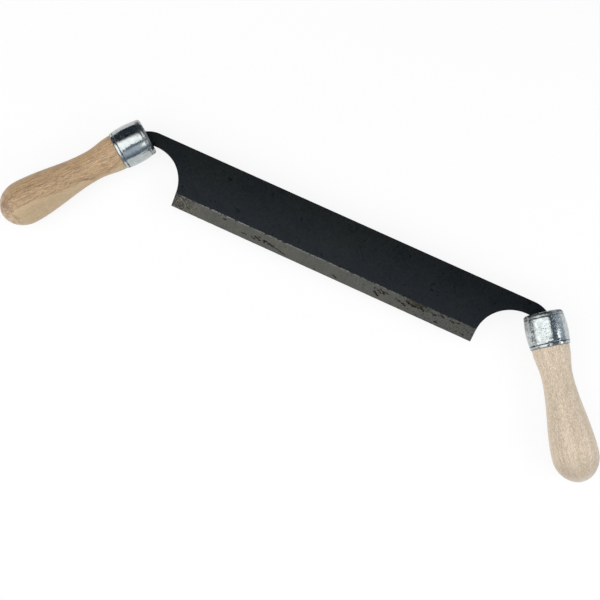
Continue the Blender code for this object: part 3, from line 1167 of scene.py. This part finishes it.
def make_floor(settings):
    """A white floor that keeps a faint shadow; the camera sees it glow, most of all far away."""
    stage = settings.stage
    shape = bmesh.new()
    cells = {"x_segments": FLOOR_CELLS, "y_segments": FLOOR_CELLS}
    bmesh.ops.create_grid(shape, size=stage.floor_size / 2, **cells)
    floor = to_object("floor", shape)
    material, board, shader = new_finish("white_floor")
    matt = {"Base Color": stage.floor_colour, "Roughness": 0.9, "Specular IOR Level": 0.0}
    board.dress(shader, matt)
    seen = board.add("ShaderNodeLightPath", {}, {}, "Is Camera Ray")
    seen = seen + board.other(seen, "Is Glossy Ray") + board.other(seen, "Is Transmission Ray")
    away = board.vector_math("LENGTH", board.object_place(), output="Value")
    share = board.math("MINIMUM", seen, 1.0) * away.ease(*FLOOR_FADE, low=FLOOR_GLOW)
    plain = Signal(board, shader.outputs["BSDF"])
    layers = {0: share, 1: plain, 2: board.glow(WHITE, 1.0)}
    board.show(board.add("ShaderNodeMixShader", {}, layers))
    floor.data.materials.append(material)


def make_soft_panel(settings):
    """A large soft panel overhead and to the near left, with a seam and one edge that fades out."""
    shape = bmesh.new()
    shape.faces.new([shape.verts.new((x, y, PANEL_HEIGHT)) for x, y in PANEL_CORNERS])
    panel = to_object("soft_panel", shape)
    material, board, _ = new_finish("panel_cloth")
    x, y, _ = board.object_place().split()
    faded = (x * -0.5 + y).fade(0.24, 0.72)
    seam = abs(x * 0.881 + y * 0.473 + 0.76).fade(0.02, 0.07)
    cloth = board.shade(WHITE, faded * (1 - seam * 0.45))
    board.show(board.glow(cloth, settings.stage.panel_light))
    panel.data.materials.append(material)
    panel.visible_camera = False
    panel.visible_shadow = False


def make_side_lamp(settings):
    """A small soft lamp to the right, close by."""
    stage = settings.stage
    data = bpy.data.lights.new("side_lamp", "AREA")
    data.shape = "ELLIPSE"
    data.size = stage.lamp_size
    data.size_y = stage.lamp_size * LAMP_ASPECT
    data.energy = stage.lamp_power
    lamp = add_object("side_lamp", data)
    lamp.location = LAMP_PLACE
    lamp.visible_glossy = False
    lamp.rotation_euler = (LAMP_AIM - LAMP_PLACE).to_track_quat("-Z", "Y").to_euler()


def light_room():
    """A dim bluish room round the panel, lighter to the near left; the camera sees plain white."""
    world = bpy.data.worlds.new("dim_room")
    world.use_nodes = True
    bpy.context.scene.world = world
    board = Board(world.node_tree)
    direction = board.add("ShaderNodeTexCoord", {}, {}, "Generated")
    x, y, z = direction.split()
    near_right = z.ease(0.15, 0.60) * 0.45 + 0.20 - z.ease(0.74, 0.84) * 0.42
    far_right = z.fade(0.45, 0.85) * 0.34 + 0.13
    far = y.ease(-0.25, 0.25)
    right = near_right * (1 - far) + far_right * far
    left = ((1 - far) * 1.25 + 0.045) * (1 - z.fade(0.09, 0.17) * 0.85)
    on_right = x.ease(-0.15, 0.15)
    light = right * on_right + left * (1 - on_right)
    for towards, brightness, spread in GLINTS:
        facing = board.vector_math("DOT_PRODUCT", direction, towards, output="Value")
        light = light + facing.ease(math.cos(spread), math.cos(spread * 0.4)) * brightness
    tint = board.blend(ROOM_BLUE, WHITE, board.math("MINIMUM", light, 1.0))
    seen = board.add("ShaderNodeLightPath", {}, {}, "Is Camera Ray")
    background = world.node_tree.nodes["Background"]
    board.feed(background.inputs["Color"], board.blend(board.shade(tint, light), WHITE, seen))


def make_camera(settings):
    """A camera above the tool, turned as in the photograph."""
    data = bpy.data.cameras.new("camera")
    data.sensor_width = SENSOR_WIDTH
    data.lens = settings.stage.lens
    camera = add_object("camera", data)
    back = (CAMERA_PLACE - CAMERA_AIM).normalized()
    right = Vector((0, 1, 0)).cross(back).normalized()
    up = back.cross(right)
    facing = Matrix((right, up, back)).transposed() @ Matrix.Rotation(CAMERA_ROLL, 3, "Z")
    camera.matrix_world = Matrix.Translation(CAMERA_PLACE) @ facing.to_4x4()
    bpy.context.scene.camera = camera


# Operators


class BARKKNIFE_OT_blade(bpy.types.Operator):
    """Build the forged blade with its notches, tangs and ground bevel"""

    bl_idname = "bark_knife.blade"
    bl_label = "Build Blade"

    def execute(self, context):
        make_blade(context.scene.bark_knife)
        return {"FINISHED"}


class BARKKNIFE_OT_ferrules(bpy.types.Operator):
    """Build the two zinc-coated ferrules"""

    bl_idname = "bark_knife.ferrules"
    bl_label = "Build Ferrules"

    def execute(self, context):
        settings = context.scene.bark_knife
        for name, side in SIDES:
            make_ferrule(settings, name, side, zinc_finish(settings, name, ZINC_WEAR[side]))
        return {"FINISHED"}


class BARKKNIFE_OT_handles(bpy.types.Operator):
    """Build the two turned beech handles"""

    bl_idname = "bark_knife.handles"
    bl_label = "Build Handles"

    def execute(self, context):
        settings = context.scene.bark_knife
        tree = grip_tree(list(grip_sizes(settings, LEFT)))
        make_grip(settings, "left", LEFT, tree, tan_beech(settings))
        make_grip(settings, "right", RIGHT, tree, pale_beech(settings))
        return {"FINISHED"}


class BARKKNIFE_OT_stage(bpy.types.Operator):
    """Set up the floor, the light and the camera"""

    bl_idname = "bark_knife.stage"
    bl_label = "Set Up Stage"

    def execute(self, context):
        settings = context.scene.bark_knife
        make_floor(settings)
        make_soft_panel(settings)
        make_side_lamp(settings)
        light_room()
        make_camera(settings)
        context.scene.view_settings.view_transform = "Standard"
        return {"FINISHED"}


class VIEW3D_PT_bark_knife(bpy.types.Panel):
    """Lists the steps that build the bark knife, with its settings"""

    bl_label = "Bark Knife"
    bl_space_type = "VIEW_3D"
    bl_region_type = "UI"
    bl_category = "Bark Knife"

    def draw(self, context):
        settings = context.scene.bark_knife
        for operator, group in zip(OPERATORS, ("blade", "ferrule", "handle", "stage")):
            box = self.layout.box()
            box.operator(operator.bl_idname)
            sizes = getattr(settings, group)
            for name in sizes.__annotations__:
                box.prop(sizes, name)


OPERATORS = (BARKKNIFE_OT_blade, BARKKNIFE_OT_ferrules, BARKKNIFE_OT_handles, BARKKNIFE_OT_stage)
CLASSES = (
    BladeSettings,
    FerruleSettings,
    HandleSettings,
    StageSettings,
    BarkKnifeSettings,
    *OPERATORS,
    VIEW3D_PT_bark_knife,
)


def register():
    for cls in CLASSES:
        bpy.utils.register_class(cls)
    bpy.types.Scene.bark_knife = bpy.props.PointerProperty(type=BarkKnifeSettings)


def unregister():
    del bpy.types.Scene.bark_knife
    for cls in reversed(CLASSES):
        bpy.utils.unregister_class(cls)


def main():
    register()
    bpy.ops.bark_knife.blade()
    bpy.ops.bark_knife.ferrules()
    bpy.ops.bark_knife.handles()
    bpy.ops.bark_knife.stage()


if __name__ == "__main__":
    main()
